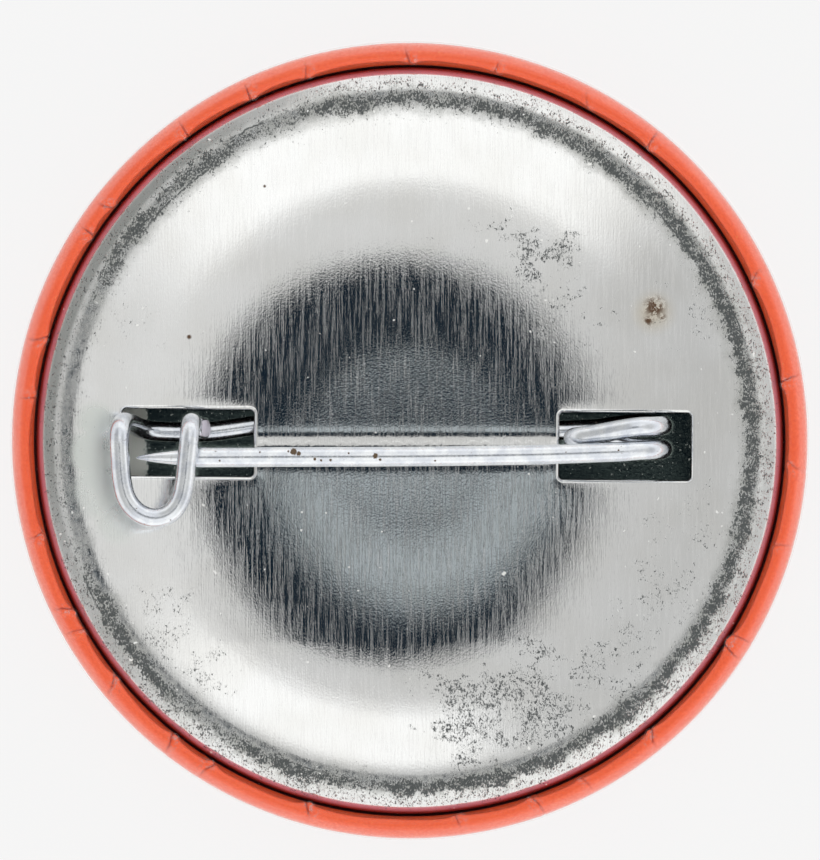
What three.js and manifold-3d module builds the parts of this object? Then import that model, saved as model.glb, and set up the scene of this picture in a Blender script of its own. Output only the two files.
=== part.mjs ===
// A pin-back button badge, 1.5 inches across, lying on its face with its pin side up.
// Millimetres, +Z up. The badge's axis is Z and its face touches z = 0 at the origin.
// The pin's arm runs along X, with its coil at +X and its catch at -X.
//
// The badge is five pieces: a tinplate front shell, a printed paper disc and a clear film wrapped
// over it, a tinplate back plate crimped into it, and one spring wire. The wire is three nodes here,
// cut at the two ends of its coil, because the arm turns and the coil flexes.

import * as THREE from 'three';
import { mergeVertices } from 'three/addons/utils/BufferGeometryUtils.js';
import Module from 'manifold-3d';

const wasm = await Module();
wasm.setup();

// ---- Driving dimensions ---------------------------------------------------------------------

const badgeRadius = 19.05;
const roundSegments = 48;

// Layers of the rim. Each one is wrapped round the last, with a hair of clearance between them.
const shellThickness = 0.22;
const paperThickness = 0.1;
const filmThickness = 0.06;
const layerClearance = 0.02;
const tuckLength = 1.6;

// The front shell's middle surface, as radius and height.
const faceFlatRadius = 7;
const domeStart = new THREE.Vector2(13.2, 0.42);
const shoulderStart = new THREE.Vector2(16.9, 0.95);
const widestHeight = 2.55;
const rimEdge = new THREE.Vector2(18.33, 4.29);

// The back plate.
const plateThickness = 0.25;
const plateTop = 3.2;
const plateFlatRadius = 4;
const windowSize = new THREE.Vector2(6.25, 3.2);
const windowCornerRadius = 0.2;
const windowCentres = [new THREE.Vector2(-10.55, -0.09), new THREE.Vector2(10.25, -0.27)];
const pinLineTurn = -0.009;

// The pin's wire.
const wireRadius = 0.465;
const wireSides = 10;
const wireCutGap = 0.1;
const baseHeight = 2.15;
const catchHeight = 6.38;
const coilTop = 4.7;
const bendRadius = 1.25;
const bendCentre = new THREE.Vector2(10.78, baseHeight + bendRadius + 0.05);
const leftBendRadius = 0.68;
const leftBendCentre = new THREE.Vector2(8.45, coilTop - 0.4 - leftBendRadius);
const coilStart = new THREE.Vector3(9, 0.56, baseHeight);
const coilEnd = new THREE.Vector3(9.6, -0.55, coilTop + 0.12);
const pinPoint = new THREE.Vector3(-12.97, -0.81, catchHeight - 1);
const taperLength = 3;
const bluntness = 0.04;

// ---- Materials ------------------------------------------------------------------------------

const tinplate = new THREE.MeshStandardMaterial({ color: 0xc9c8c4, roughness: 0.25, metalness: 1 });
const zincWire = new THREE.MeshStandardMaterial({ color: 0xd3d4dc, roughness: 0.3, metalness: 1 });
const orangePaper = new THREE.MeshStandardMaterial({ color: 0xee5b3c, roughness: 0.6, metalness: 0 });
const clearFilm = new THREE.MeshStandardMaterial({
  color: 0xffffff,
  roughness: 0.1,
  metalness: 0,
  transparent: true,
  opacity: 0.25,
});

// ---- Rim layers -----------------------------------------------------------------------------

const paperInside = shellThickness / 2 + layerClearance;
const paperOutside = paperInside + paperThickness;
const filmInside = paperOutside + layerClearance;
const filmOutside = filmInside + filmThickness;
const wallRadius = badgeRadius - filmOutside;

// The shell's middle surface: a domed face, a round shoulder and a wall that leans in at its top.
function shellPath() {
  const path = new THREE.Path();
  path.moveTo(0, filmOutside);
  path.lineTo(faceFlatRadius, filmOutside);
  path.quadraticCurveTo(10.5, filmOutside, domeStart.x, domeStart.y);
  path.quadraticCurveTo(15.73, 0.523, shoulderStart.x, shoulderStart.y);
  path.bezierCurveTo(17.9, 1.314, wallRadius, 1.65, wallRadius, widestHeight);
  path.bezierCurveTo(wallRadius, 3.2, 18.62, 3.75, rimEdge.x, rimEdge.y);
  return path;
}

// The back plate's middle surface: a flat centre, a shallow dish, a bead and a skirt that grips.
function platePath() {
  const z = plateTop - plateThickness / 2;
  const path = new THREE.Path();
  path.moveTo(0, z);
  path.lineTo(plateFlatRadius, z);
  path.bezierCurveTo(7.5, z, 11.2, z + 0.16, 14.2, z + 0.8);
  path.bezierCurveTo(14.75, z + 0.917, 15.4, z + 1.04, 15.85, z + 1.1);
  path.bezierCurveTo(16.05, z + 1.127, 16.25, z + 1.14, 16.5, z + 1.14);
  path.bezierCurveTo(16.7, z + 1.14, 16.85, z + 1.112, 16.98, z + 1.075);
  path.bezierCurveTo(17.28, z + 0.992, 17.635, z + 0.88, 17.635, z + 0.45);
  path.bezierCurveTo(17.635, z + 0.05, 17.7, z - 0.35, 18.12, z - 0.45);
  return path;
}

// Points along a path, each with the direction that is outward on its right-hand side.
function walk(path, stepsPerCurve) {
  const stations = [];
  for (const curve of path.curves) {
    const steps = curve.isLineCurve ? 1 : stepsPerCurve;
    for (let i = stations.length ? 1 : 0; i <= steps; i += 1) {
      const tangent = curve.getTangent(i / steps);
      stations.push({
        point: curve.getPoint(i / steps),
        outward: new THREE.Vector2(tangent.y, -tangent.x),
      });
    }
  }
  return stations;
}

function shifted(stations, distance) {
  return stations.map(({ point, outward }) => {
    const moved = point.clone().addScaledVector(outward, distance);
    moved.x = Math.max(moved.x, 0);
    return moved;
  });
}

// A bent sheet of even thickness: out along one side of the path and back along the other.
function sheetOutline(stations, thickness) {
  return [...shifted(stations, thickness / 2), ...shifted(stations, -thickness / 2).reverse()];
}

// A half circle round the path's end, from its outer side over to its inner side.
function endRound(stations, distance) {
  const { point, outward } = stations.at(-1);
  const ahead = new THREE.Vector2(-outward.y, outward.x);
  const bends = 4;
  const points = [];
  for (let i = 1; i < bends; i += 1) {
    const angle = (Math.PI * i) / bends;
    const across = outward.clone().multiplyScalar(distance * Math.cos(angle));
    points.push(point.clone().add(across).addScaledVector(ahead, distance * Math.sin(angle)));
  }
  return points;
}

// The end of the path, as far back as the folded-in edge reaches.
function tuckedPart(stations) {
  let length = 0;
  let index = stations.length - 1;
  while (length < tuckLength) {
    length += stations[index].point.distanceTo(stations[index - 1].point);
    index -= 1;
  }
  return stations.slice(index);
}

// A sheet that lies on the outer side of the path, folds over its end and runs back down inside.
function wrappedOutline(stations, inside, outside) {
  const tucked = tuckedPart(stations);
  return [
    ...shifted(stations, outside),
    ...endRound(stations, outside),
    ...shifted(tucked, -outside).reverse(),
    ...shifted(tucked, -inside),
    ...endRound(stations, inside).reverse(),
    ...shifted(stations, inside).reverse(),
  ];
}

// An outline turned round Z.
function turned(outline) {
  const geometry = new THREE.LatheGeometry(outline, roundSegments);
  return geometry.rotateX(Math.PI / 2);
}

// ---- Solids ---------------------------------------------------------------------------------

function toSolid(geometry) {
  const bare = geometry.clone();
  bare.deleteAttribute('normal');
  bare.deleteAttribute('uv');
  const merged = mergeVertices(bare, 1e-5);
  const corners = merged.index.array;
  const kept = [];
  for (let i = 0; i < corners.length; i += 3) {
    const [a, b, c] = corners.slice(i, i + 3);
    if (a !== b && b !== c && c !== a) kept.push(a, b, c);
  }
  const mesh = new wasm.Mesh({
    numProp: 3,
    vertProperties: new Float32Array(merged.attributes.position.array),
    triVerts: new Uint32Array(kept),
  });
  return new wasm.Manifold(mesh);
}

function toGeometry(solid) {
  const { vertProperties, triVerts } = solid.getMesh();
  const geometry = new THREE.BufferGeometry();
  geometry.setAttribute('position', new THREE.BufferAttribute(vertProperties, 3));
  geometry.setIndex(new THREE.BufferAttribute(triVerts, 1));
  geometry.computeVertexNormals();
  return geometry;
}

function roundedRectangle(size, radius) {
  const x = size.x / 2 - radius;
  const y = size.y / 2 - radius;
  const shape = new THREE.Shape();
  shape.absarc(x, y, radius, 0, Math.PI / 2);
  shape.absarc(-x, y, radius, Math.PI / 2, Math.PI);
  shape.absarc(-x, -y, radius, Math.PI, Math.PI * 1.5);
  shape.absarc(x, -y, radius, Math.PI * 1.5, Math.PI * 2);
  return shape;
}

function windowCutter(centre) {
  const shape = roundedRectangle(windowSize, windowCornerRadius);
  const geometry = new THREE.ExtrudeGeometry(shape, { depth: 3, bevelEnabled: false, curveSegments: 3 });
  geometry.rotateZ(pinLineTurn);
  return toSolid(geometry.translate(centre.x, centre.y, plateTop - 1.5));
}

// ---- Pieces ---------------------------------------------------------------------------------

function piece(name, geometry, material) {
  const mesh = new THREE.Mesh(geometry, material);
  mesh.name = name;
  return mesh;
}

function frontShell(stations) {
  return piece('front_shell', turned(sheetOutline(stations, shellThickness)), tinplate);
}

function printedPaper(stations) {
  return piece('printed_paper', turned(wrappedOutline(stations, paperInside, paperOutside)), orangePaper);
}

function clearFilmSkin(stations) {
  return piece('clear_film', turned(wrappedOutline(stations, filmInside, filmOutside)), clearFilm);
}

function backPlate() {
  let solid = toSolid(turned(sheetOutline(walk(platePath(), 3), plateThickness)));
  for (const centre of windowCentres) {
    solid = solid.subtract(windowCutter(centre));
  }
  return piece('back_plate', toGeometry(solid), tinplate);
}

// A round wire along a curve, with flat ends.
function wire(curve, steps) {
  const section = new THREE.Shape().absarc(0, 0, wireRadius, 0, Math.PI * 2);
  return new THREE.ExtrudeGeometry(section, {
    steps,
    extrudePath: curve,
    bevelEnabled: false,
    curveSegments: wireSides / 2,
  });
}

function through(...points) {
  return new THREE.CatmullRomCurve3(points.map((p) => new THREE.Vector3(...p)), false, 'centripetal');
}

// The fixed part of the wire: the base behind the plate, then the catch's loop over the arm, whose
// free end comes down again to just above the base.
function pinBaseAndCatch() {
  const z = baseHeight;
  const top = catchHeight;
  const curve = through(
    [coilStart.x - wireCutGap, coilStart.y, z],
    [7, 0.48, z],
    [4, 0.5, z],
    [-2, 0.7, z],
    [-6.6, 0.8, z],
    [-8.2, 0.6, z + 0.04],
    [-9.5, 0.43, z + 0.08],
    [-11.6, 0.42, z + 0.12],
    [-12.35, 0.47, z + 0.3],
    [-12.85, 0.6, z + 0.75],
    [-13.15, 0.75, z + 1.5],
    [-13.38, 0.84, z + 2.3],
    [-13.6, 0.85, top - 0.9],
    [-13.71, 0.55, top - 0.2],
    [-13.74, 0, top],
    [-13.69, -1, top],
    [-13.61, -1.9, top],
    [-13.36, -2.8, top],
    [-12.82, -3.42, top],
    [-12.05, -3.67, top],
    [-11.3, -3.42, top],
    [-10.85, -2.8, top],
    [-10.64, -1.9, top],
    [-10.55, -1, top],
    [-10.44, 0, top],
    [-10.38, 0.55, top - 0.2],
    [-10.36, 0.82, top - 0.9],
    [-10.34, 0.8, top - 1.9],
    [-10.24, 0.7, z + 1.62],
    [-10.02, 0.62, z + 1.38],
    [-9.72, 0.58, z + 1.27],
  );
  return piece('pin_base_and_catch', wire(curve, 92), zincWire);
}

// Points of a half turn in the upright plane along X, starting at an angle given in quarter turns,
// with Y running evenly from one end to the other.
function halfTurn(centre, radius, startQuarter, fromY, toY) {
  const bends = 5;
  const points = [];
  for (let i = 0; i <= bends; i += 1) {
    const angle = (startQuarter * Math.PI) / 2 + (i / bends) * Math.PI;
    const y = THREE.MathUtils.lerp(fromY, toY, i / bends);
    points.push([centre.x + radius * Math.cos(angle), y, centre.y + radius * Math.sin(angle)]);
  }
  return points;
}

// The coil: one and a half long flat turns that wind forward beside each other, along -Y.
function springCoil() {
  const curve = through(
    coilStart.toArray(),
    ...halfTurn(bendCentre, bendRadius, -1, 0.8, 0.64),
    ...halfTurn(leftBendCentre, leftBendRadius, 1, 0.24, 0),
    [9.6, -0.2, baseHeight + 0.5],
    ...halfTurn(bendCentre, bendRadius, -1, -0.34, -0.47),
    coilEnd.toArray(),
  );
  return piece('spring_coil', wire(curve, 80), zincWire);
}

// Draws a straight wire in to a point towards the end of its line.
function sharpen(geometry, line) {
  const position = geometry.attributes.position;
  const vertex = new THREE.Vector3();
  for (let i = 0; i < position.count; i += 1) {
    vertex.fromBufferAttribute(position, i);
    const toTaper = (vertex.x - pinPoint.x) / taperLength;
    if (toTaper < 1) {
      const middle = line.getPoint((vertex.x - line.v1.x) / (line.v2.x - line.v1.x));
      const width = bluntness + (1 - bluntness) * Math.max(toTaper, 0) ** 0.65;
      vertex.sub(middle).multiplyScalar(width).add(middle);
      position.setXYZ(i, vertex.x, vertex.y, vertex.z);
    }
  }
  return geometry;
}

// The arm that goes through the cloth. It springs against the underside of the catch.
function pinArm() {
  const start = coilEnd.clone();
  start.x -= wireCutGap;
  const line = new THREE.LineCurve3(start, pinPoint);
  return piece('pin_arm', sharpen(wire(line, 36), line), zincWire);
}

const shellStations = walk(shellPath(), 3);
const group = new THREE.Group();
group.add(frontShell(shellStations));
group.add(printedPaper(shellStations));
group.add(clearFilmSkin(shellStations));
group.add(backPlate());
group.add(pinBaseAndCatch());
group.add(springCoil());
group.add(pinArm());

export default group;
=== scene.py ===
"""The looks of a pin-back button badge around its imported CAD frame. It lies on its face, pin side up.

Shapes are worked out in millimetres and made in metres. The badge's axis is Z, and its pin runs along X.
"""

import math
import random

import bpy
import numpy as np
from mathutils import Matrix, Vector, geometry


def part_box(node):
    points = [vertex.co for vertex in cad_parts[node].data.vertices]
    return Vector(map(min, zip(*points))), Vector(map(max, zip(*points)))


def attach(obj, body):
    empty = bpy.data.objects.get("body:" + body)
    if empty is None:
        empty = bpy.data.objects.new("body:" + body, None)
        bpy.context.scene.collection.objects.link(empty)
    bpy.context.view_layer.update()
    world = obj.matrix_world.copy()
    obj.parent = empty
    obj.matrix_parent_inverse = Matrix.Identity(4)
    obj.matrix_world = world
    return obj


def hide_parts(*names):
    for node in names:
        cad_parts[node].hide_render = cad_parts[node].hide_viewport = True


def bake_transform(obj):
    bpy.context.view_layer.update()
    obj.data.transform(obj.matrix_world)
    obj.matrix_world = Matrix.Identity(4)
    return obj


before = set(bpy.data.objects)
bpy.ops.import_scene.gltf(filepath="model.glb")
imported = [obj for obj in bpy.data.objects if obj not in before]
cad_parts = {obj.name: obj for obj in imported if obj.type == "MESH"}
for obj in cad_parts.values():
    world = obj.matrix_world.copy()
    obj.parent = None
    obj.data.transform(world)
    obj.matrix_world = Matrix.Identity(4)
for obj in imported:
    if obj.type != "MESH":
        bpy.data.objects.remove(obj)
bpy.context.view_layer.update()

MM = 0.001

# ---- Sizes, in millimetres -------------------------------------------------------------------

_, film_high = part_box("clear_film")

BADGE_RADIUS = film_high.x / MM
SHELL_THICKNESS = 0.22
PAPER_INSIDE = 0.13
PAPER_OUTSIDE = 0.23
FILM_INSIDE = 0.25
FILM_OUTSIDE = 0.31
WALL_RADIUS = BADGE_RADIUS - FILM_OUTSIDE
PLATE_THICKNESS = 0.25
PLATE_TOP = 3.2

# The plate's windows: centre and size, turn in radians, corner radius, and how their edges are rolled in.
WINDOWS = [((-10.55, -0.09), (6.25, 3.2)), ((10.25, -0.27), (6.25, 3.2))]
WINDOW_TURN = -0.009
WINDOW_CORNER = 0.2
EDGE_ROUND = 0.17
EDGE_SINK = 0.012

# Inside this radius the plate is made of triangles, and outside it of rings with this many points.
PLATE_RINGS_FROM = 14.4
PLATE_COUNT = 384

# The wire's heights, the places where its base meets its coil and its coil meets its arm, and its ends.
WIRE_RADIUS = 0.465
BASE_HEIGHT = 2.15
CATCH_HEIGHT = 6.38
COIL_TOP = 4.7
COIL_START = (8.9, 0.56, BASE_HEIGHT)
ARM_START = (9.5, -0.55, COIL_TOP + 0.12)
ARM_POINT = (-12.97, -0.81, 5.38)
CATCH_END = (-9.72, 0.58, BASE_HEIGHT + 1.27)

# Where the film and paper are pleated, in degrees round the rim, with how deep each pleat is.
PLEATS = [
    (9, 1.0), (25, 0.8), (51, 0.9), (62, 0.5), (77, 0.7), (90, 0.9), (106, 0.7), (115, 1.0), (126, 0.9),
    (142, 0.9), (147, 1.0), (164, 0.8), (173.5, 0.7), (194, 0.8), (206.5, 1.0), (210, 0.6), (218.5, 0.9),
    (231, 1.1), (239, 1.2), (254, 1.2), (277, 0.7), (289, 0.9), (297, 0.6), (310, 1.2), (327, 1.0),
    (329, 0.7), (344, 0.5), (357, 0.6),
]

# The folded edge: how many of the wall's last steps it comes back down along, how much of the pleating has
# started at the top of the wall's outer side, and how far the edge bulges towards the plate.
TUCKED_STEPS = 12
WALL_SHARE = 0.14
TUCK_BULGE = 0.52

# ---- Meshes ----------------------------------------------------------------------------------


def make_piece(name, points, faces, material, normals=None):
    """A smooth-shaded mesh object from points in millimetres."""
    mesh = bpy.data.meshes.new(name)
    mesh.from_pydata((np.asarray(points) * MM).tolist(), [], faces)
    mesh.update()
    mesh.shade_smooth()
    if normals is not None:
        lengths = np.linalg.norm(normals, axis=1)[:, None]
        mesh.normals_split_custom_set_from_vertices((normals / lengths).tolist())
    mesh.materials.append(material)
    piece = bpy.data.objects.new(name, mesh)
    bpy.context.scene.collection.objects.link(piece)
    return piece


def curve_points(controls, steps):
    """Points of one Bezier curve after its start, and the directions there. Two controls make a line."""
    share = np.linspace(0, 1, steps + 1)[1:, None]
    degree = len(controls) - 1
    position = np.zeros((steps, len(controls[0])))
    direction = np.zeros_like(position)
    for i, control in enumerate(controls):
        weight = math.comb(degree, i) * share**i * (1 - share) ** (degree - i)
        position += weight * np.asarray(control)
    for i in range(degree):
        weight = math.comb(degree - 1, i) * share**i * (1 - share) ** (degree - 1 - i)
        direction += weight * (np.asarray(controls[i + 1]) - np.asarray(controls[i]))
    return position, direction / np.linalg.norm(direction, axis=1)[:, None]


def trace(start, *curves):
    """A path of joined curves, each given as (steps, control points after the last one)."""
    points, directions = [np.array([start], float)], [np.array([[1.0, 0.0]])]
    last = start
    for steps, *controls in curves:
        position, direction = curve_points([last, *controls], steps)
        points.append(position)
        directions.append(direction)
        last = controls[-1]
    return np.concatenate(points), np.concatenate(directions)


def shell_path():
    """The front shell's middle surface, as radius and height: a domed face, a shoulder and a wall."""
    low = FILM_OUTSIDE
    return trace(
        (0, low),
        (2, (7, low)),
        (8, (10.5, low), (13.2, low + 0.11)),
        (8, (15.73, 0.523), (16.9, 0.95)),
        (12, (17.9, 1.314), (WALL_RADIUS, 1.65), (WALL_RADIUS, 2.55)),
        (16, (WALL_RADIUS, 3.2), (18.62, 3.75), (18.33, 4.29)),
    )


def plate_path():
    """The back plate's middle surface: a flat centre, a dish, a low bead, a round shoulder and a skirt."""
    z = PLATE_TOP - PLATE_THICKNESS / 2
    return trace(
        (0, z),
        (10, (4, z)),
        (80, (7.5, z), (11.2, z + 0.16), (14.2, z + 0.8)),
        (14, (14.75, z + 0.917), (15.4, z + 1.04), (15.85, z + 1.1)),
        (14, (16.05, z + 1.127), (16.25, z + 1.14), (16.5, z + 1.14)),
        (12, (16.7, z + 1.14), (16.85, z + 1.112), (16.98, z + 1.075)),
        (24, (17.28, z + 0.992), (17.635, z + 0.88), (17.635, z + 0.45)),
        (12, (17.635, z + 0.05), (17.7, z - 0.35), (18.12, z - 0.45)),
    )


def outward(directions):
    """Unit vectors square to a path's directions, to its right as it is followed."""
    return np.stack([directions[:, 1], -directions[:, 0]], axis=1)


def on_circle(radius, angle):
    return radius * math.cos(angle), radius * math.sin(angle)


def turned(radius, height, turn):
    """Rings of points at these radii and heights, turned round the axis to these angles in radians."""
    return np.stack([radius * np.cos(turn), radius * np.sin(turn), height + 0 * turn], axis=2)


def ring_faces(rings, count):
    """Quads between neighbouring rings of count points."""
    faces = []
    for i in range(rings - 1):
        a, b = i * count, (i + 1) * count
        for j in range(count):
            k = (j + 1) % count
            faces.append((a + j, a + k, b + k, b + j))
    return faces


def closed_faces(rings, count):
    """Quads between rings of count points, and triangles from the end rings to two points after them all."""
    faces = ring_faces(rings, count)
    first_centre = rings * count
    last = first_centre - count
    for j in range(count):
        k = (j + 1) % count
        faces.append((first_centre, k, j))
        faces.append((first_centre + 1, last + j, last + k))
    return faces


# ---- The pleated paper and film --------------------------------------------------------------


def rim_angles():
    """Angles round the rim in degrees, close together at each pleat."""
    angles = set(np.round(np.arange(0, 360, 0.75), 3))
    for angle, _ in PLEATS:
        for step in (0.08, 0.16, 0.24, 0.34, 0.46, 0.6, 0.8, 1.05, 1.4, 1.8):
            angles.update((round(angle - step, 3) % 360, round(angle + step, 3) % 360))
        angles.add(angle % 360)
    return np.array(sorted(angles))


def pleat_fields(angles, share):
    """How far the folded edge puffs in, how deep it is creased, where its creases get painted shade, and
    where it is crinkled, for relief and painted glints on the film.

    share is 0 on the rim's outer side and 1 at the fold's inner edge, for each row of points. The first two
    are in millimetres. Between its pleats the folded edge is a row of shallow arches. Each pleat is a sharp
    line with a raised knot beside it, pulled in more on one side than on the other.
    """
    puff = np.zeros((len(share), len(angles)))
    crease = np.zeros_like(puff)
    painted_fold_shade = np.zeros_like(puff)
    crinkles_and_glints = np.zeros_like(puff)
    draw = random.Random(7)
    for angle, depth in PLEATS:
        lean = draw.uniform(-1.6, 1.6)
        side = draw.choice((-1, 1))
        away = ((angles[None, :] - angle + lean * (1 - share[:, None]) ** 1.5 + 180) % 360 - 180) * side
        reach = np.clip((share[:, None] + 0.05) * 5.5 - draw.uniform(0.0, 0.8), 0, 1)
        width = np.where(away > 0, draw.uniform(1.5, 2.6), draw.uniform(0.7, 1.6))
        pulled = np.exp(-((np.abs(away) / width) ** 1.4))
        line = np.exp(-((away / 0.15) ** 2))
        knot = np.exp(-(((away - 0.75) / 0.45) ** 2))
        puff += depth * 0.14 * pulled * share[:, None]
        crease += depth * reach * (0.08 * line - 0.065 * knot)
        # Painted shade along each crease line, which darkens the paper there.
        painted_fold_shade = np.maximum(painted_fold_shade, reach * line * min(depth, 1))
        # Where the film is crinkled beside each pleat: relief, and painted glints.
        near = np.exp(-(((away - 0.5) / 1.1) ** 2))
        crinkles_and_glints = np.maximum(crinkles_and_glints, near * min(depth, 1) * np.clip(share[:, None] * 2.5, 0, 1))
    slow = 0.03 * np.sin(np.radians(angles * 7 + 20)) + 0.018 * np.sin(np.radians(angles * 31 + 70))
    puff += (slow[None, :] + 0.065) * share[:, None]
    return puff, crease, painted_fold_shade, crinkles_and_glints


def wrapped_rows(inside):
    """Rows of points of one surface of a wrapped layer: radius and height, outward direction, pleat share.

    The path is followed out at this distance, round its end and back down inside. There the layer bulges
    towards the plate.
    """
    path, directions = shell_path()
    normals = outward(directions)
    tucked = len(path) - TUCKED_STEPS
    turns = np.linspace(0, math.pi, 14)[1:-1]
    ahead = directions[-1:]
    around = np.cos(turns)[:, None] * normals[-1] + np.sin(turns)[:, None] * ahead
    base = np.concatenate([path, np.repeat(path[-1:], len(turns), axis=0), path[:tucked:-1]])
    facing = np.concatenate([normals, around, -normals[:tucked:-1]])
    wall_share = WALL_SHARE * np.clip((path[:, 1] - 3.6) / 0.69, 0, 1)
    turn_share = WALL_SHARE + (1 - WALL_SHARE) * np.sin(turns / 2) ** 2.5
    depth = path[-1, 1] - path[:tucked:-1, 1]
    section = base + facing * inside
    section[-len(depth) :, 0] -= TUCK_BULGE * np.exp(-(((depth - 0.68) / 0.24) ** 2))
    tucked_share = np.exp(-((depth / 0.3) ** 2))
    return section, facing, np.concatenate([wall_share, turn_share, tucked_share])


def wrapped_layer(name, inside, outside, material):
    """A closed thin sheet wrapped over the rim and pleated where it is folded in."""
    angles = rim_angles()
    turn = np.radians(angles)
    count = len(angles)
    rows, marks = [], []
    for distance in (outside, inside):
        section, facing, share = wrapped_rows(distance)
        puff, crease, *fields = pleat_fields(angles, share)
        radius = section[:, :1] - puff - facing[:, :1] * crease
        height = section[:, 1:] - facing[:, 1:] * crease
        rows.append(turned(radius, height, turn))
        marks.append(fields)
    loop = np.concatenate([rows[0][1:], rows[1][:0:-1]])
    points = np.concatenate([loop.reshape(-1, 3), [rows[0][0, 0], rows[1][0, 0]]])
    points[-2:, :2] = 0
    piece = make_piece(name, points, closed_faces(len(loop), count), material)
    # The fold field carries the painted crease shade, and the crinkle field the film's relief and painted
    # glints.
    for field, (outer, inner) in zip(("fold", "crinkle"), zip(*marks)):
        values = np.concatenate([outer[1:], inner[:0:-1]]).reshape(-1)
        attribute = piece.data.attributes.new(field, "FLOAT", "POINT")
        attribute.data.foreach_set("value", np.append(values, [0, 0]).astype(np.float32))
    return piece


# ---- Tinplate --------------------------------------------------------------------------------


def front_shell(material, count=256):
    """The closed sheet of the shell, turned round the axis."""
    path, directions = shell_path()
    half = outward(directions) * SHELL_THICKNESS / 2
    section = np.concatenate([(path + half)[1:], (path - half)[:0:-1]])
    turn = np.linspace(0, 2 * math.pi, count, endpoint=False)
    rings = turned(section[:, :1], section[:, 1:], turn)
    centres = [[0, 0, path[0, 1] - SHELL_THICKNESS / 2], [0, 0, path[0, 1] + SHELL_THICKNESS / 2]]
    points = np.concatenate([rings.reshape(-1, 3), centres])
    return make_piece("shell_front", points, closed_faces(len(rings), count), material)


def window_distance(points):
    """Signed distance of points in the plane to the nearest window's edge, negative inside a window."""
    nearest = np.full(len(points), 1e9)
    for centre, size in WINDOWS:
        away = points - np.asarray(centre)
        x = away[:, 0] * math.cos(WINDOW_TURN) + away[:, 1] * math.sin(WINDOW_TURN)
        y = -away[:, 0] * math.sin(WINDOW_TURN) + away[:, 1] * math.cos(WINDOW_TURN)
        corner = np.stack([np.abs(x) - size[0] / 2, np.abs(y) - size[1] / 2], axis=1) + WINDOW_CORNER
        outside = np.linalg.norm(np.maximum(corner, 0), axis=1)
        nearest = np.minimum(nearest, outside + np.minimum(corner.max(axis=1), 0) - WINDOW_CORNER)
    return nearest


def window_outline(centre, size, distance):
    """Points round a window at a distance outside its edge."""
    corner = WINDOW_CORNER + distance
    half = np.asarray(size) / 2 - WINDOW_CORNER
    points = []
    corners = [half * sides for sides in ((1, 1), (-1, 1), (-1, -1), (1, -1))]
    for i, centre_of_arc in enumerate(corners):
        start = i * math.pi / 2
        for angle in np.linspace(start, start + math.pi / 2, 9):
            points.append(centre_of_arc + on_circle(corner, angle))
        steps = 40 if i % 2 == 0 else 18
        first = points[-1]
        end = corners[(i + 1) % 4] + on_circle(corner, start + math.pi / 2)
        for share in np.linspace(0, 1, steps + 1)[1:-1]:
            points.append(first + (end - first) * share)
    points = np.array(points)
    x = points[:, 0] * math.cos(WINDOW_TURN) - points[:, 1] * math.sin(WINDOW_TURN)
    y = points[:, 0] * math.sin(WINDOW_TURN) + points[:, 1] * math.cos(WINDOW_TURN)
    return np.stack([x, y], axis=1) + np.asarray(centre)


def smooth_step(value, low, high):
    share = np.clip((value - low) / (high - low), 0, 1)
    return share * share * (3 - 2 * share)


def uneven_height(points):
    """How much the back plate stands off its even shape: a slight ridge under the pin between the windows,
    and a side below the pin that leans up a little."""
    ends = 1 - smooth_step(np.abs(points[:, 0]), 7.2, 8.4)
    ridge = 0.075 * np.exp(-(((points[:, 1] + 0.42) / 0.36) ** 2) / 2) * ends
    share = np.clip((-0.6 - points[:, 1]) / 9, 0, 1)
    lean = 0.0166 * 9 * (share - share**4 * (0.8 - 0.3 * share)) * 0.92
    return ridge + lean * (1 - smooth_step(np.hypot(points[:, 0], points[:, 1]), 11.5, 16.8))


def plate_height(points):
    """The top of the back plate over points in the plane, inside the ring where its outer part starts."""
    path, directions = plate_path()
    top = path - outward(directions) * PLATE_THICKNESS / 2
    height = np.interp(np.hypot(points[:, 0], points[:, 1]), top[:, 0], top[:, 1])
    edge = np.clip(window_distance(points), 0, None)
    near = np.clip(1 - edge / EDGE_ROUND, 0, 1)
    rolled = EDGE_ROUND * (1 - np.sqrt(1 - near**2 * 0.96))
    sunk = EDGE_SINK * np.exp(-((edge / 0.3) ** 2))
    return height + uneven_height(points) - rolled - sunk


def slopes(height, points):
    """How steeply a height over the plane rises along X and along Y."""
    step = 0.004
    along = ([step, 0], [0, step])
    return [(height(points + move) - height(points - move)) / (2 * step) for move in along]


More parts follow.
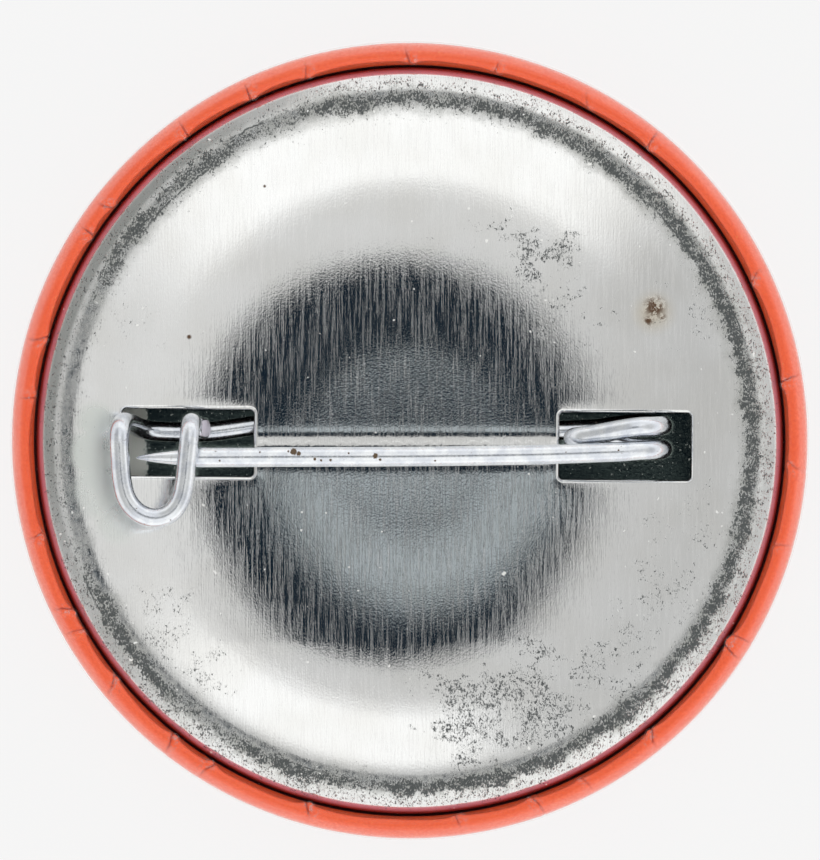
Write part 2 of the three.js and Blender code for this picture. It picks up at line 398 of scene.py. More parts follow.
def plate_centre_mesh():
    """The back plate inside its outer rings, with the windows left out.

    It is given as points in the plane, triangles, where each point that went in has gone, and each window's
    first point and number of points.
    """
    spacing = 0.3
    turn = np.linspace(0, 2 * math.pi, PLATE_COUNT, endpoint=False)
    points = [on_circle(PLATE_RINGS_FROM, angle) for angle in turn]
    edges = [(i, (i + 1) % PLATE_COUNT) for i in range(PLATE_COUNT)]
    outlines = []
    for centre, size in WINDOWS:
        for distance in (0, 0.02, 0.05, 0.09, 0.13, 0.17, 0.24, 0.34):
            outline = window_outline(centre, size, distance)
            if distance == 0:
                first = len(points)
                count = len(outline)
                edges += [(first + i, first + (i + 1) % count) for i in range(count)]
                outlines.append((first, count))
            outline = outline[np.hypot(outline[:, 0], outline[:, 1]) < PLATE_RINGS_FROM - 0.1]
            points += [tuple(p) for p in outline]
    grid = [(0.0, 0.0)]
    radius = spacing
    while radius < PLATE_RINGS_FROM - 0.15:
        count = max(6, round(2 * math.pi * radius / spacing))
        phase = 0.5 * (len(grid) % 2)
        grid += [on_circle(radius, (i + phase) * 2 * math.pi / count) for i in range(count)]
        radius += spacing
    grid = np.array(grid)
    points += [tuple(p) for p in grid[window_distance(grid) > 0.45]]
    result = geometry.delaunay_2d_cdt([Vector(p) for p in points], edges, [], 0, 1e-7)
    flat = np.array([tuple(p) for p in result[0]])
    triangles = [tuple(f) for f in result[2]]
    middles = np.array([flat[list(f)].mean(axis=0) for f in triangles])
    keep = window_distance(middles) > 0
    triangles = [f for f, kept in zip(triangles, keep) if kept]
    origin = {original: i for i, originals in enumerate(result[3]) for original in originals}
    return flat, triangles, origin, outlines


def plate_rings():
    """Rings of points, and their normals, of both sides of the back plate's bead, shoulder and skirt."""
    path, directions = plate_path()
    facing = outward(directions)
    outer = path[:, 0] > PLATE_RINGS_FROM + 0.02
    upper = (path - facing * PLATE_THICKNESS / 2)[outer]
    lower = (path + facing * PLATE_THICKNESS / 2)[outer]
    section = np.concatenate([upper, lower[::-1]])
    section_normals = np.concatenate([-facing[outer], facing[outer][::-1]])
    turn = np.linspace(0, 2 * math.pi, PLATE_COUNT, endpoint=False)
    rings = turned(section[:, :1], section[:, 1:], turn)
    places = rings[:, :, :2].reshape(-1, 2)
    rings[:, :, 2] += uneven_height(places).reshape(rings.shape[:2])
    slope_x, slope_y = (slope.reshape(rings.shape[:2]) for slope in slopes(uneven_height, places))
    out, up = section_normals[:, :1], section_normals[:, 1:]
    normals = turned(out, up, turn)
    normals[:, :, 0] -= up * slope_x
    normals[:, :, 1] -= up * slope_y
    return rings, normals


def back_plate(material):
    """The tinplate back: its centre is triangles round the two windows, its bead and skirt are rings."""
    flat, triangles, origin, outlines = plate_centre_mesh()
    top = np.column_stack([flat, plate_height(flat)])
    slope_x, slope_y = slopes(plate_height, flat)
    top_normals = np.column_stack([-slope_x, -slope_y, np.ones(len(flat))])
    low = top - [0, 0, PLATE_THICKNESS]
    count = len(flat)
    faces = []
    for face in triangles:
        corner, second, third = flat[list(face)]
        a, b, c = face if np.cross(second - corner, third - corner) > 0 else face[::-1]
        faces.append((a, b, c))
        faces.append((count + c, count + b, count + a))
    for first, length in outlines:
        wall = [origin[first + i] for i in range(length)]
        for i in range(length):
            a, b = wall[i], wall[(i + 1) % length]
            faces.append((a, b, count + b, count + a))
    rings, ring_normals = plate_rings()
    first_ring = 2 * count
    for a, b, c, d in ring_faces(len(rings), PLATE_COUNT):
        faces.append((first_ring + a, first_ring + d, first_ring + c, first_ring + b))
    last_ring = first_ring + (len(rings) - 1) * PLATE_COUNT
    for i in range(PLATE_COUNT):
        j = (i + 1) % PLATE_COUNT
        inner_a, inner_b = origin[i], origin[j]
        faces.append((inner_a, first_ring + i, first_ring + j, inner_b))
        faces.append((count + inner_b, last_ring + j, last_ring + i, count + inner_a))
    points = np.concatenate([top, low, rings.reshape(-1, 3)])
    normals = np.concatenate([top_normals, -top_normals, ring_normals.reshape(-1, 3)])
    return make_piece("plate_back", points, faces, material, normals)


# ---- The wire --------------------------------------------------------------------------------


def smooth_line(controls, spacing=0.09, smoothing=3):
    """A centripetal Catmull-Rom curve through the controls, in even steps, with its kinks smoothed."""
    controls = np.asarray(controls, float)
    ends = [2 * controls[0] - controls[1], 2 * controls[-1] - controls[-2]]
    knots = np.concatenate([[ends[0]], controls, [ends[1]]])
    line = [controls[0]]
    for i in range(1, len(knots) - 2):
        p = knots[i - 1 : i + 3]
        t = np.concatenate([[0], np.cumsum(np.sqrt(np.linalg.norm(np.diff(p, axis=0), axis=1)))])
        for s in np.linspace(t[1], t[2], 17)[1:]:
            a = [((t[j + 1] - s) * p[j] + (s - t[j]) * p[j + 1]) / (t[j + 1] - t[j]) for j in range(3)]
            b = [((t[j + 2] - s) * a[j] + (s - t[j]) * a[j + 1]) / (t[j + 2] - t[j]) for j in range(2)]
            line.append(((t[2] - s) * b[0] + (s - t[1]) * b[1]) / (t[2] - t[1]))
    line = np.array(line)
    along = np.concatenate([[0], np.cumsum(np.linalg.norm(np.diff(line, axis=0), axis=1))])
    steps = np.linspace(0, along[-1], max(8, round(along[-1] / spacing)))
    line = np.stack([np.interp(steps, along, line[:, k]) for k in range(3)], axis=1)
    for _ in range(smoothing):
        line[1:-1] = (line[:-2] + 2 * line[1:-1] + line[2:]) / 4
    return line


def tube(name, line, material, radius=None, sides=28, end_rounds=(0.004, 0.004), last_cut=None):
    """A closed round wire along a line.

    radius gives its thickness along the line, and end_rounds how far each of its ends is rounded. last_cut
    is the direction that its last end faces, where that is not straight along the wire.
    """
    radius = np.full(len(line), WIRE_RADIUS) if radius is None else radius
    tangents = np.gradient(line, axis=0)
    tangents /= np.linalg.norm(tangents, axis=1)[:, None]
    side = np.cross(tangents[0], [0, 0, 1.0])
    if np.linalg.norm(side) < 0.1:
        side = np.cross(tangents[0], [0, 1.0, 0])
    side /= np.linalg.norm(side)
    rings = []
    turn = np.linspace(0, 2 * math.pi, sides, endpoint=False)
    crisp = 0.006
    first = line[0] - tangents[0] * np.array([[end_rounds[0]], [0.0], [-crisp]])
    last = line[-1] + tangents[-1] * np.array([[-crisp], [0.0], [end_rounds[1]]])
    line = np.concatenate([first, line[1:-1], last])
    tangents = np.concatenate([tangents[[0, 0]], tangents, tangents[[-1, -1]]])
    end_radius = [max(radius[0] - end_rounds[0], 0.01), max(radius[-1] - end_rounds[1], 0.01)]
    radius = np.concatenate([end_radius[:1], radius[:1], radius, radius[-1:], end_radius[1:]])
    for centre, tangent, width in zip(line, tangents, radius):
        side = side - tangent * np.dot(side, tangent)
        side /= np.linalg.norm(side)
        other = np.cross(tangent, side)
        rings.append(centre + width * (np.cos(turn)[:, None] * side + np.sin(turn)[:, None] * other))
    if last_cut is not None:
        reach = 14
        for i in range(reach):
            across = (rings[-1 - i] - line[-1 - i]) @ last_cut
            slide = -across / np.dot(tangents[-1], last_cut) * min(1, (reach - i) / (reach - 1))
            rings[-1 - i] = rings[-1 - i] + slide[:, None] * tangents[-1 - i]
    points = np.concatenate([*rings, [line[0], line[-1]]])
    return make_piece(name, points, closed_faces(len(rings), sides), material)


def base_and_catch_line():
    """The base wire behind the plate, which rises through the left window and makes the catch's loop."""
    z, top = BASE_HEIGHT, CATCH_HEIGHT
    return smooth_line([
        COIL_START, (7, 0.48, z), (4, 0.5, z), (-2, 0.7, z), (-6.6, 0.8, z), (-8.2, 0.6, z + 0.04),
        (-9.5, 0.43, z + 0.08), (-11.6, 0.42, z + 0.12), (-12.35, 0.47, z + 0.3), (-12.85, 0.6, z + 0.75),
        (-13.15, 0.75, z + 1.5), (-13.38, 0.84, z + 2.3), (-13.6, 0.85, top - 0.9),
        (-13.71, 0.55, top - 0.2), (-13.74, 0, top), (-13.69, -1, top), (-13.61, -1.9, top),
        (-13.36, -2.8, top), (-12.82, -3.42, top), (-12.05, -3.67, top), (-11.3, -3.42, top),
        (-10.85, -2.8, top), (-10.64, -1.9, top), (-10.55, -1, top), (-10.44, 0, top),
        (-10.38, 0.55, top - 0.2), (-10.36, 0.82, top - 0.9), (-10.34, 0.8, top - 1.9),
        (-10.24, 0.7, z + 1.62), (-10.02, 0.62, z + 1.38), CATCH_END,
    ])


def half_turn(centre_x, centre_z, radius, start_quarter, from_y, to_y):
    """Points of half a turn about an axis along Y, which starts this many quarter turns from +X."""
    points = []
    for share in np.linspace(0, 1, 6):
        across, up = on_circle(radius, (start_quarter / 2 + share) * math.pi)
        points.append((centre_x + across, from_y + (to_y - from_y) * share, centre_z + up))
    return points


def coil_line():
    """One and a half turns, up through the right window and out over the plate."""
    bend = (10.78, BASE_HEIGHT + 1.3, 1.25)
    return smooth_line([
        COIL_START,
        *half_turn(*bend, -1, 0.8, 0.64),
        *half_turn(8.45, COIL_TOP - 1.08, 0.68, 1, 0.24, 0.0),
        (9.6, -0.2, BASE_HEIGHT + 0.5),
        *half_turn(*bend, -1, -0.34, -0.47),
        (10.1, -0.53, COIL_TOP + 0.095),
        ARM_START,
    ])


def arm_line():
    """The straight arm, from the coil over the plate to its point under the catch."""
    return smooth_line([ARM_START, (6.2, -0.66, 4.92), (0, -0.75, 5.07), (-5, -0.77, 5.19), ARM_POINT])


def arm_radius(line):
    """The arm's thickness: full, and then drawn in to a sharp point."""
    to_point = np.clip((line[:, 0] - ARM_POINT[0]) / 3.0, 0, 1)
    return WIRE_RADIUS * (0.04 + 0.96 * to_point**0.65)


# ---- Materials -------------------------------------------------------------------------------


class Nodes:
    """A short way to write a node tree."""

    def __init__(self, tree):
        self.tree = tree

    def put(self, socket, value):
        if isinstance(value, bpy.types.NodeSocket):
            self.tree.links.new(value, socket)
        elif value is not None:
            socket.default_value = value

    def math(self, operation, a, b=None):
        node = self.tree.nodes.new("ShaderNodeMath")
        node.operation = operation
        self.put(node.inputs[0], a)
        self.put(node.inputs[1], b)
        return node.outputs[0]

    def highest(self, *values):
        result = values[0]
        for value in values[1:]:
            result = self.math("MAXIMUM", result, value)
        return result

    def vector(self, operation, a, b=None):
        node = self.tree.nodes.new("ShaderNodeVectorMath")
        node.operation = operation
        self.put(node.inputs[0], a)
        self.put(node.inputs[1], b)
        is_number = operation in ("LENGTH", "DISTANCE", "DOT_PRODUCT")
        return node.outputs["Value" if is_number else "Vector"]

    def parts(self, vector):
        node = self.tree.nodes.new("ShaderNodeSeparateXYZ")
        self.put(node.inputs[0], vector)
        return node.outputs

    def join(self, x, y, z=0.0):
        node = self.tree.nodes.new("ShaderNodeCombineXYZ")
        for socket, value in zip(node.inputs, (x, y, z)):
            self.put(socket, value)
        return node.outputs[0]

    def noise(self, place, scale, detail=2.0, roughness=0.5, distortion=0.0):
        node = self.tree.nodes.new("ShaderNodeTexNoise")
        self.put(node.inputs["Vector"], place)
        node.inputs["Scale"].default_value = scale
        node.inputs["Detail"].default_value = detail
        node.inputs["Roughness"].default_value = roughness
        node.inputs["Distortion"].default_value = distortion
        return node.outputs[0]

    def ramp(self, value, low, high, to_low=0.0, to_high=1.0):
        """A smooth step from to_low at low to to_high at high."""
        node = self.tree.nodes.new("ShaderNodeMapRange")
        node.interpolation_type = "SMOOTHSTEP"
        for socket, number in zip(list(node.inputs)[:5], (value, low, high, to_low, to_high)):
            self.put(socket, number)
        return node.outputs[0]

    def mix(self, share, a, b):
        node = self.tree.nodes.new("ShaderNodeMix")
        node.data_type = "RGBA"
        self.put(node.inputs[0], share)
        self.put(node.inputs[6], a)
        self.put(node.inputs[7], b)
        return node.outputs[2]

    def blend(self, share, a, b):
        """A number between a and b."""
        node = self.tree.nodes.new("ShaderNodeMix")
        self.put(node.inputs[0], share)
        self.put(node.inputs[2], a)
        self.put(node.inputs[3], b)
        return node.outputs[0]


class Material(Nodes):
    """A material's nodes, with places in millimetres on the object."""

    def __init__(self, name):
        self.material = bpy.data.materials.new(name)
        self.material.use_nodes = True
        super().__init__(self.material.node_tree)
        self.shader = next(node for node in self.tree.nodes if node.type == "BSDF_PRINCIPLED")
        coordinates = self.tree.nodes.new("ShaderNodeTexCoord")
        self.place = self.vector("MULTIPLY", coordinates.outputs["Object"], (1 / MM,) * 3)
        self.flat_place = self.vector("MULTIPLY", self.place, (1, 1, 0))

    def set(self, **inputs):
        """Fill the shader's inputs, named with _ for a space."""
        for name, value in inputs.items():
            self.put(self.shader.inputs[name.replace("_", " ")], value)

    def field(self, name):
        """A value stored on the mesh's points."""
        node = self.tree.nodes.new("ShaderNodeAttribute")
        node.attribute_name = name
        return node.outputs["Fac"]

    def bump(self, height, depth, before=None):
        """Relief whose full height is depth millimetres."""
        node = self.tree.nodes.new("ShaderNodeBump")
        node.inputs["Distance"].default_value = depth * MM
        self.put(node.inputs["Height"], height)
        self.put(node.inputs["Normal"], before)
        return node.outputs[0]

    def near(self, x, y, size, soft, ragged=0.0):
        """1 within size millimetres of a place in the plane, falling to 0 over soft more.

        ragged is added to how far away a point counts as being.
        """
        away = self.math("ADD", self.vector("DISTANCE", self.flat_place, (x, y, 0)), ragged)
        return self.ramp(away, size, size + soft, 1.0, 0.0)


# Patches of corrosion inside the bead: x, y, size and softness in millimetres, and strength.
SPECKLED_PATCHES = [
    (6.0, 8.5, 0.4, 2.6, 0.80), (7.6, 6.4, 0.3, 2.4, 0.72), (3.1, -12.9, 0.8, 2.8, 0.78),
    (6.0, -12.4, 0.9, 3.0, 0.82), (8.9, -11.2, 0.6, 2.6, 0.68), (10.6, -9.4, 0.4, 2.2, 0.62),
    (12.6, -7.2, 0.6, 2.4, 0.66), (-12.2, -9.0, 0.8, 2.6, 0.62), (-9.8, -11.4, 0.3, 1.8, 0.58),
    (13.9, 6.2, 0.4, 1.8, 0.60), (2.5, 9.6, 0.2, 1.6, 0.44), (-13.4, 5.6, 0.3, 2.0, 0.45),
    (13.2, -3.5, 0.3, 2.2, 0.55), (3.2, -14.2, 0.6, 1.8, 0.70),
]

# Painted reflections left of the catch, greenish patches that tint the tinplate and dull it: x, y, size and
# softness in millimetres.
PAINTED_REFLECTIONS = [(-14.9, 0.9, 0.5, 0.7), (-15.0, -0.6, 0.8, 0.7), (-14.8, -2.4, 0.8, 0.9), (-13.9, -3.9, 0.5, 0.8)]

# Rust on the tinplate, in patches and in single spots: x, y, size and softness in millimetres.
RUST_PATCHES = [(11.65, 6.35, 0.2, 0.55), (11.35, 5.7, 0.05, 0.35), (12.0, 5.9, 0.02, 0.3)]
RUST_DOTS = [(-10.5, 4.94, 0.05, 0.1), (-6.9, 12.1, 0.02, 0.08)]

# Long scratches round the bead: radius in millimetres, middle and half length in degrees round the axis.
LONG_SCRATCHES = [
    (16.02, 37, 7), (16.08, 133, 11), (16.8, 207, 5), (16.55, 20, 4), (16.3, 251, 5), (16.66, 118, 4),
]

# Rust spots on the pin: x, y, size and softness in millimetres.
RUST_SPOTS = [
    (-5.5, -0.52, 0.06, 0.2), (-5.25, -0.6, 0.02, 0.18), (-4.5, -0.86, 0.0, 0.16), (-4.2, -0.93, 0.0, 0.12),
    (-3.75, -0.92, 0.0, 0.14), (-1.62, -0.72, 0.03, 0.2), (-1.4, -0.9, 0.0, 0.13), (-5.75, -0.5, 0.0, 0.1),
    (-7.1, -0.55, 0.0, 0.1), (-9.0, -0.95, 0.0, 0.1), (-2.9, -0.6, 0.0, 0.1), (1.2, -0.95, 0.0, 0.1),
    (-12.9, -3.2, 0.0, 0.06), (-11.3, -3.75, 0.0, 0.07), (8.9, 0.85, 0.0, 0.1), (9.9, -0.45, 0.0, 0.1),
]


def from_angle(n, angle, degrees):
    """The cosine of how far round the axis a point is from this many degrees: 1 there, -1 opposite."""
    return n.math("COSINE", n.math("SUBTRACT", angle, math.radians(degrees)))


def band_strength(n, radius, angle):
    """How corroded the bead is, and how far out from the middle of its corroded band a point lies.

    The band's middle sits a little further out below the pin.
    """
    middle = n.math("SUBTRACT", 16.42, n.math("MULTIPLY", n.math("SINE", n.math("ADD", angle, 0.56)), 0.16))
    middle = n.math("ADD", middle, n.ramp(n.noise(n.place, 0.8, 3.0, 0.6), 0.25, 0.75, -0.2, 0.2))
    out = n.math("SUBTRACT", radius, middle)
    core = n.math("MULTIPLY", n.ramp(out, -1.0, -0.1), n.ramp(out, 0.0, 0.95, 1.0, 0.0))
    direction = n.join(n.math("MULTIPLY", n.math("COSINE", angle), 2.2), n.math("SINE", angle), 4.0)
    around = n.ramp(n.noise(direction, 1.7, 1.0, 0.4), 0.3, 0.5, 0.8, 1.0)
    pale_side = n.ramp(from_angle(n, angle, 178), 0.85, 0.985, 1.0, 0.5)
    return n.math("MULTIPLY", core, n.math("MULTIPLY", pale_side, around)), out


def long_scratches(n, radius, angle):
    """1 along each long scratch."""
    marks = []
    wander = n.ramp(n.noise(n.place, 1.6, 3.0, 0.6), 0.3, 0.7, -0.05, 0.05)
    for at, middle, half in LONG_SCRATCHES:
        across = n.math("ABSOLUTE", n.math("ADD", n.math("SUBTRACT", radius, at), wander))
        aside = from_angle(n, angle, middle)
        ends = n.ramp(aside, math.cos(math.radians(half * 1.15)), math.cos(math.radians(half * 0.5)))
        marks.append(n.math("MULTIPLY", n.ramp(across, 0.015, 0.06, 1.0, 0.0), ends))
    broken = n.ramp(n.noise(n.place, 5.0, 2.0, 0.6), 0.36, 0.5, 0.2, 1.0)
    return n.math("MULTIPLY", n.highest(*marks), broken)


def dark_specks(n, band, out):
    """1 on each speck of corrosion. They are densest on the bead, inside it and in the speckled patches."""
    density = n.highest(n.math("MULTIPLY", band, 1.08), n.ramp(out, -2.2, 0.1, 0.0, 0.66))
    density = n.math("MULTIPLY", density, n.ramp(out, 0.65, 1.2, 1.0, 0.6))
    ragged = n.ramp(n.noise(n.place, 0.75, 3.0, 0.65), 0.25, 0.75, -1.9, 1.9)
    for x, y, size, soft, strength in SPECKLED_PATCHES:
        density = n.highest(density, n.math("MULTIPLY", n.near(x, y, size, soft, ragged), strength))
    clusters = n.ramp(n.noise(n.place, 2.6, 4.0, 0.75), 0.3, 0.7, -0.075, 0.075)
    grains = n.noise(n.vector("MULTIPLY", n.place, (1, 0.6, 1)), 12.0, 4.0, 0.8)
    threshold = n.math("SUBTRACT", 0.79, n.math("MULTIPLY", density, 0.335))
    return n.ramp(n.math("SUBTRACT", n.math("ADD", grains, clusters), threshold), -0.02, 0.035)


def plate_rust(n):
    """1 on the plate's rust: ragged patches and round spots."""
    ragged = n.ramp(n.noise(n.place, 3.2, 4.0, 0.75), 0.42, 0.52)
    patches = n.highest(*(n.near(*patch) for patch in RUST_PATCHES))
    return n.highest(n.math("MULTIPLY", patches, ragged), *(n.near(*dot) for dot in RUST_DOTS))


def tinplate_material():
    """Bright tinplate: rolling lines along Y, orange peel, and dark specks of corrosion round the bead. It
    has painted shade on the shoulder's left side, a painted pink reflection of the paper on the shoulder's
    edge, painted dark red on the skirt, and painted greenish reflections left of the catch.
    """
    n = Material("tinplate")
    radius = n.vector("LENGTH", n.flat_place)
    x, y, _ = n.parts(n.place)
    angle = n.math("ARCTAN2", y, x)
    lines = n.ramp(n.noise(n.vector("MULTIPLY", n.place, (12.0, 0.45, 1)), 1.0, 3.0, 0.75), 0.44, 0.68)
    peel = n.noise(n.vector("MULTIPLY", n.place, (1.15, 0.85, 1)), 10.5, 2.0, 0.6)
    fine = n.noise(n.place, 15.0, 3.0, 0.7)
    slow = n.noise(n.place, 0.33, 2.0, 0.5)

    band, out = band_strength(n, radius, angle)
    specks = n.highest(dark_specks(n, band, out), long_scratches(n, radius, angle))
    rust = plate_rust(n)
    marks = n.highest(specks, rust)
    smudge = n.math("MULTIPLY", band, n.ramp(n.noise(n.place, 2.2, 4.0, 0.7), 0.34, 0.6, 0.35, 1.0))
    # Painted reflection: a greenish tint, with a duller finish, where the plate mirrors the catch.
    painted_reflection_places = n.highest(*(n.near(*place) for place in PAINTED_REFLECTIONS))
    painted_reflection = n.math("MULTIPLY", painted_reflection_places, n.ramp(slow, 0.3, 0.6, 0.6, 1.0))
    stain = n.math("MULTIPLY", n.near(11.6, 6.1, 0.2, 1.1), 0.45)
    dust = n.ramp(n.noise(n.vector("ADD", n.place, (40, 0, 0)), 3.4, 1.0, 0.4), 0.775, 0.79)
    # Painted reflection: the shoulder's edge is coloured pink for the red paper it mirrors; this mask also
    # dulls it and lowers its metal.
    painted_red_reflection = n.ramp(radius, 17.38, 17.5)
    # Painted shade: the skirt down in the gap is coloured dark red, for the paper seen in shade there.
    skirt = n.ramp(radius, 17.55, 17.7)
    # Painted shade: the outer slope of the shoulder is coloured darker on the side about 158 degrees round,
    # where it shows something dark.
    painted_shade_side = n.ramp(from_angle(n, angle, 158), 0.66, 0.95)
    painted_shade_shoulder = n.math("MULTIPLY", painted_shade_side, n.ramp(radius, 16.8, 17.0, 0.0, 0.75))

    colour = n.mix(n.ramp(slow, 0.3, 0.7), (0.82, 0.825, 0.825, 1), (0.775, 0.775, 0.765, 1))
    colour = n.mix(n.math("MULTIPLY", smudge, 0.62), colour, (0.28, 0.29, 0.262, 1))
    colour = n.mix(painted_shade_shoulder, colour, (0.36, 0.375, 0.36, 1))
    colour = n.mix(stain, colour, (0.75, 0.62, 0.40, 1))
    colour = n.mix(n.math("MULTIPLY", painted_reflection, 0.5), colour, (0.70, 0.76, 0.71, 1))
    # Painted reflection of the red paper on the shoulder's edge.
    colour = n.mix(painted_red_reflection, colour, (0.78, 0.34, 0.42, 1))
    # Painted dark red of the shaded paper in the gap.
    colour = n.mix(skirt, colour, (0.34, 0.05, 0.05, 1))
    colour = n.mix(n.math("MULTIPLY", specks, 0.94), colour, (0.05, 0.058, 0.06, 1))
    colour = n.mix(rust, colour, (0.10, 0.05, 0.022, 1))

    scratched = n.blend(n.highest(lines, n.ramp(fine, 0.54, 0.70, 0.0, 0.25)), 1.0, 0.76)
    unplated = n.highest(marks, dust, n.math("MULTIPLY", painted_red_reflection, 0.7))
    smooth = n.math("ADD", n.blend(lines, 0.05, 0.066), n.ramp(fine, 0.36, 0.64, -0.018, 0.018))
    dull = n.highest(marks, smudge, painted_red_reflection, n.math("MULTIPLY", painted_reflection, 0.75))
    relief = n.bump(lines, 0.0006)
    relief = n.bump(peel, 0.0016, relief)
    relief = n.bump(fine, 0.0006, relief)
    n.set(
        Base_Color=n.mix(dust, colour, (0.95, 0.95, 0.93, 1)),
        Metallic=n.blend(unplated, scratched, 0.2),
        Roughness=n.blend(dull, smooth, 0.42),
        Normal=n.bump(n.math("MULTIPLY", marks, -1.0), 0.004, relief),
    )
    return n.material


def inner_tin_material():
    """The front shell's inside: dull greenish tinplate, which still mirrors, with a few specks of dust, and
    painted light: a pale patch at its left end, where the plate shades it.
    """
    n = Material("inner_tin")
    fine = n.noise(n.place, 8.0, 3.0, 0.7)
    x, _, _ = n.parts(n.place)
    # Painted light: the part left of x -12.25 is made pale, for light where the plate shades it; the dust
    # mask carries it along with the real dust specks.
    pale = n.ramp(n.math("ADD", x, n.noise(n.place, 2.0, 2.0, 0.6)), -12.25, -12.0, 1.0, 0.0)
    dust = n.highest(n.ramp(n.noise(n.place, 6.0, 3.0, 0.7), 0.62, 0.70, 0.0, 0.8), pale)
    n.set(
        Base_Color=n.mix(dust, (0.20, 0.24, 0.212, 1), (0.93, 0.95, 0.88, 1)),
        Metallic=n.blend(dust, 1.0, 0.6),
        Roughness=n.blend(dust, n.ramp(fine, 0.3, 0.7, 0.05, 0.1), 0.4),
        Normal=n.bump(fine, 0.0012),
    )
    return n.material


def wire_material():
    """Zinc-plated spring wire with draw lines, small nicks and a few rust spots."""
    n = Material("pin_wire")
    lines = n.noise(n.vector("MULTIPLY", n.place, (0.5, 7, 7)), 1.0, 3.0, 0.7)
    fine = n.noise(n.place, 9.0, 3.0, 0.65)
    slow = n.noise(n.place, 1.3, 3.0, 0.6)
    nicks = n.ramp(n.noise(n.place, 4.2, 4.0, 0.8), 0.665, 0.70)
    spots = n.highest(*(n.near(*spot) for spot in RUST_SPOTS))
    ragged = n.math("MULTIPLY", n.noise(n.place, 10.0, 4.0, 0.85), 1.9)
    rust = n.highest(nicks, n.ramp(n.math("ADD", spots, ragged), 1.46, 1.58))
    _, _, z = n.parts(n.place)
    at_height = n.math("MULTIPLY", n.ramp(z, 2.75, 2.9), n.ramp(z, 3.85, 3.95, 1.0, 0.0))
    cut = n.math("MULTIPLY", n.near(CATCH_END[0], CATCH_END[1], 0.36, 0.08), at_height)
    metal = n.mix(n.ramp(slow, 0.35, 0.65), (0.81, 0.832, 0.86, 1), (0.65, 0.68, 0.74, 1))
    metal = n.mix(cut, metal, (0.93, 0.89, 0.98, 1))
    relief = n.bump(lines, 0.0012)
    relief = n.bump(n.math("SUBTRACT", fine, rust), 0.0014, relief)
    n.set(
        Base_Color=n.mix(rust, metal, (0.13, 0.085, 0.05, 1)),
        Metallic=n.blend(rust, 1.0, 0.2),
        Roughness=n.blend(n.highest(rust, cut), n.ramp(fine, 0.3, 0.7, 0.2, 0.28), 0.7),
        Normal=relief,
    )
    return n.material


def paper_material():
    """Orange-red printed paper, glossy from the film pressed onto it, with fine grain and pale flecks,
    painted shade on its folded lip and painted shade along its creases.
    """
    n = Material("printed_paper")
    grain = n.noise(n.place, 8.0, 4.0, 0.75)
    flecks = n.noise(n.place, 4.2, 4.0, 0.75)
    slow = n.noise(n.place, 0.4, 2.0, 0.5)
    # Painted shade: inside radius 18.6 the folded lip is coloured a deeper, darker red, where it mirrors
    # less of the bright surround.
    folded = n.ramp(n.vector("LENGTH", n.flat_place), 18.15, 18.6, 1.0, 0.0)
    red = n.mix(n.ramp(slow, 0.3, 0.7), (1.0, 0.175, 0.075, 1), (0.97, 0.15, 0.06, 1))
    red = n.mix(folded, red, (1.0, 0.125, 0.028, 1))
    red = n.mix(n.ramp(grain, 0.38, 0.66, 0.0, 0.55), red, (0.83, 0.07, 0.02, 1))
    red = n.mix(n.ramp(flecks, 0.66, 0.71, 0.0, 0.8), red, (0.93, 0.36, 0.10, 1))
    # Painted shade: a dark red line along each pleat's crease, from the mesh's fold field.
    red = n.mix(n.math("MULTIPLY", n.field("fold"), 0.8), red, (0.34, 0.02, 0.01, 1))
    n.set(
        Base_Color=red,
        Roughness=n.ramp(grain, 0.3, 0.7, 0.42, 0.6),
        Specular_IOR_Level=0.1,
        Coat_Weight=0.7,
        Coat_Roughness=0.1,
        Normal=n.bump(grain, 0.014),
        Coat_Normal=n.bump(n.noise(n.place, 4.0, 3.0, 0.7), 0.02),
    )
    return n.material


def film_material():
    """Thin film, clear straight on, paler where it is seen edge on, and whitish where it is crinkled:
    painted highlights for the glints there.
    """
    n = Material("clear_film")
    scuffs = n.noise(n.place, 6.0, 3.0, 0.7)
    facing = n.tree.nodes.new("ShaderNodeLayerWeight").outputs["Facing"]
    creased = n.ramp(n.noise(n.vector("MULTIPLY", n.place, (1, 1, 2)), 5.0, 3.0, 0.7), 0.50, 0.62)
    crinkles_and_glints = n.math("MULTIPLY", n.field("crinkle"), creased)
    n.set(
        Base_Color=n.mix(n.ramp(scuffs, 0.3, 0.7), (0.80, 0.78, 0.75, 1), (0.92, 0.90, 0.88, 1)),
        Roughness=n.ramp(scuffs, 0.3, 0.7, 0.08, 0.16),
        # Painted highlights: the film turns whitish and less clear where it is crinkled.
        Alpha=n.highest(n.ramp(facing, 0.7, 1.0, 0.012, 0.3), n.math("MULTIPLY", crinkles_and_glints, 0.26)),
        Normal=n.bump(crinkles_and_glints, 0.03),
    )
    return n.material


# ---- The badge -------------------------------------------------------------------------------


def dress(piece, body, node):
    """The piece rides on a body and stands for a CAD node."""
    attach(piece, body)
    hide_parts(node)


def make_sheets():
    """The shell, and the paper and film wrapped over it, and the back plate crimped in over their edges."""
    shell = front_shell(inner_tin_material())
    paper = wrapped_layer("paper_skin", PAPER_INSIDE, PAPER_OUTSIDE, paper_material())
    film = wrapped_layer("film_skin", FILM_INSIDE, FILM_OUTSIDE, film_material())
    plate = back_plate(tinplate_material())
    dress(shell, "badge", "front_shell")
    dress(paper, "badge", "printed_paper")
    dress(film, "badge", "clear_film")
    dress(plate, "badge", "back_plate")


